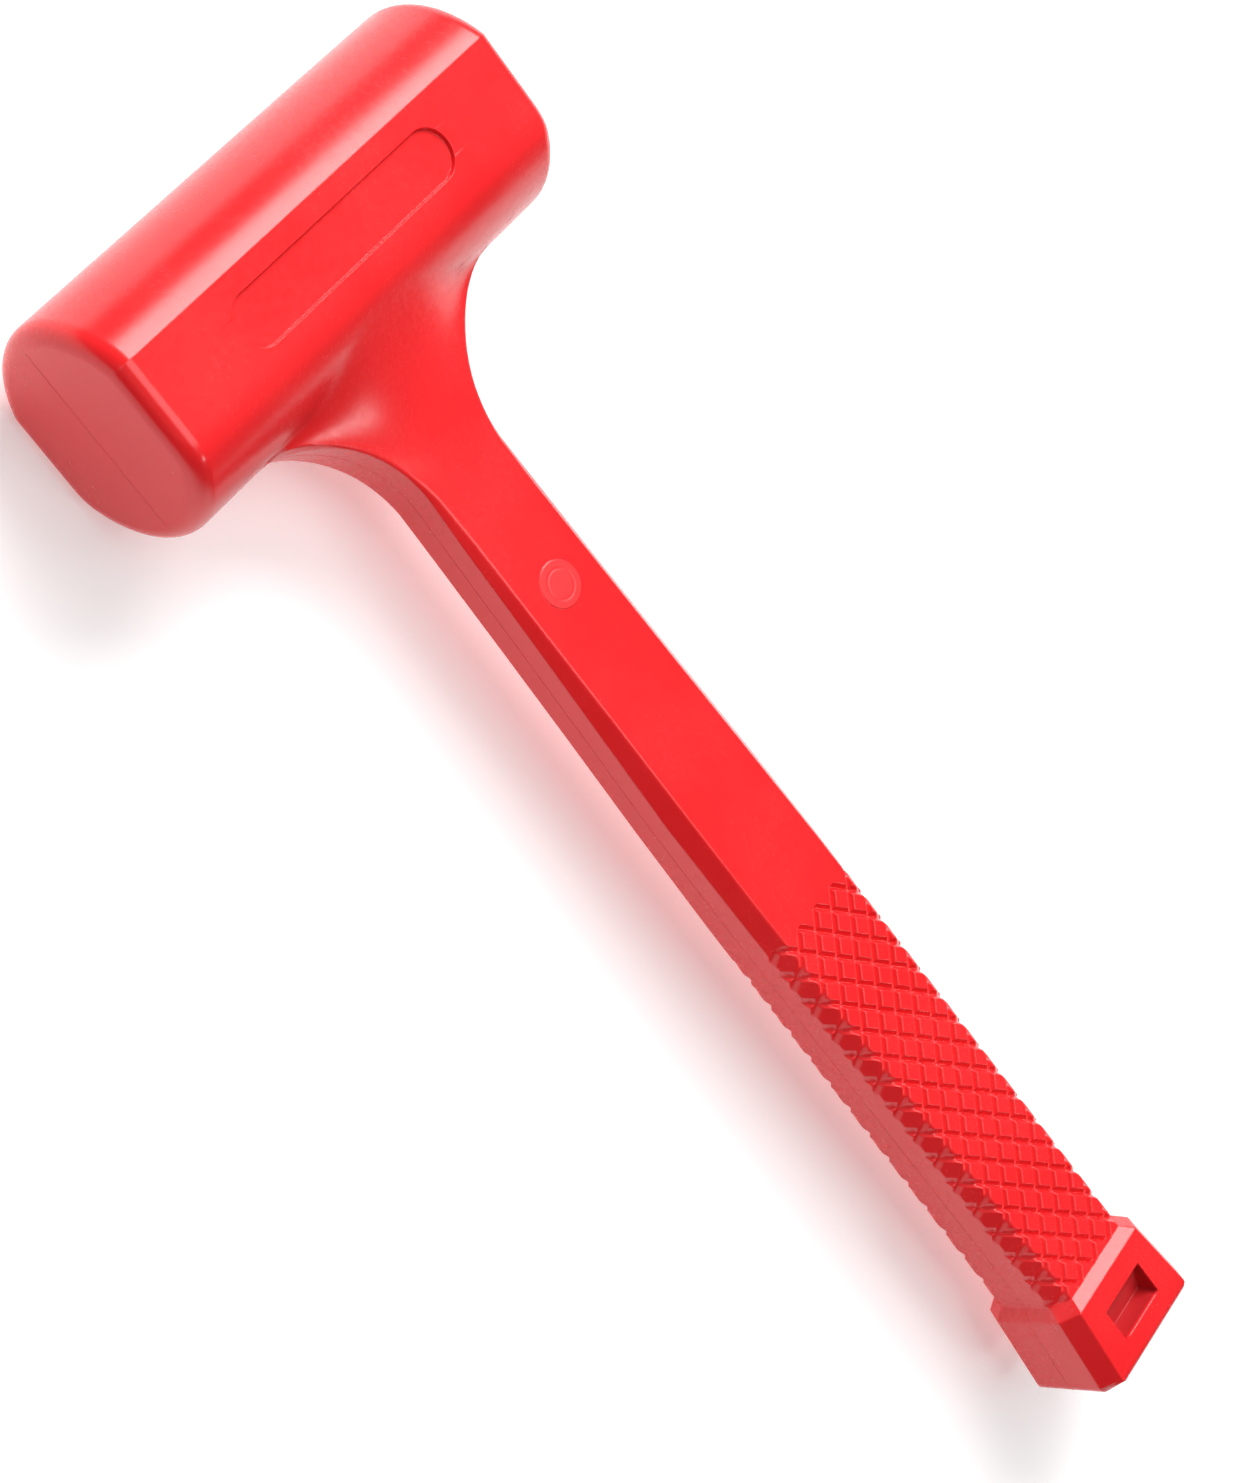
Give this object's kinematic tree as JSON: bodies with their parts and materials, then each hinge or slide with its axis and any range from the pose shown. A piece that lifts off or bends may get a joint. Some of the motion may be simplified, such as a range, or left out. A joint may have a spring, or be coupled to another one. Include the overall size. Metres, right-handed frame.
{
  "type": "dead blow hammer",
  "caption": "One-piece moulded dead blow hammer: soft jacket with knurled grip over a shot-filled steel canister and a steel handle rod.",
  "frame": {"origin": "middle of the hammer's bounding box, at the surface that the back of its head lies on", "axes": "+X along the handle from the head to the butt, +Y along the head from the left striking face to the right one, +Z out of the front, upwards"},
  "size_m": [0.27, 0.094, 0.0368],
  "materials": {
    "jacket": "semi-gloss moulded red, slightly soft",
    "canister": "drawn mild steel tube",
    "cap": "pressed mild steel",
    "shot": "bright rolled steel balls",
    "rod": "hot rolled steel bar with mill scale",
    "fitting": "zinc plated"
  },
  "bodies": {
    "hammer": {"jacket": "jacket", "canister_tube": "canister", "canister_cap_left": "cap", "canister_cap_right": "cap", "rod_socket": "fitting", "socket_pin": "fitting", "handle_rod": "rod", "rod_end_washer": "fitting"},
    "shot": {"shot_charge": "shot"}
  },
  "joints": [
    {"name": "shot_slide", "type": "slide", "parent": "hammer", "child": "shot", "axis": [0, 1, 0], "range_m": [-0.0083, 0.0083]}
  ]
}
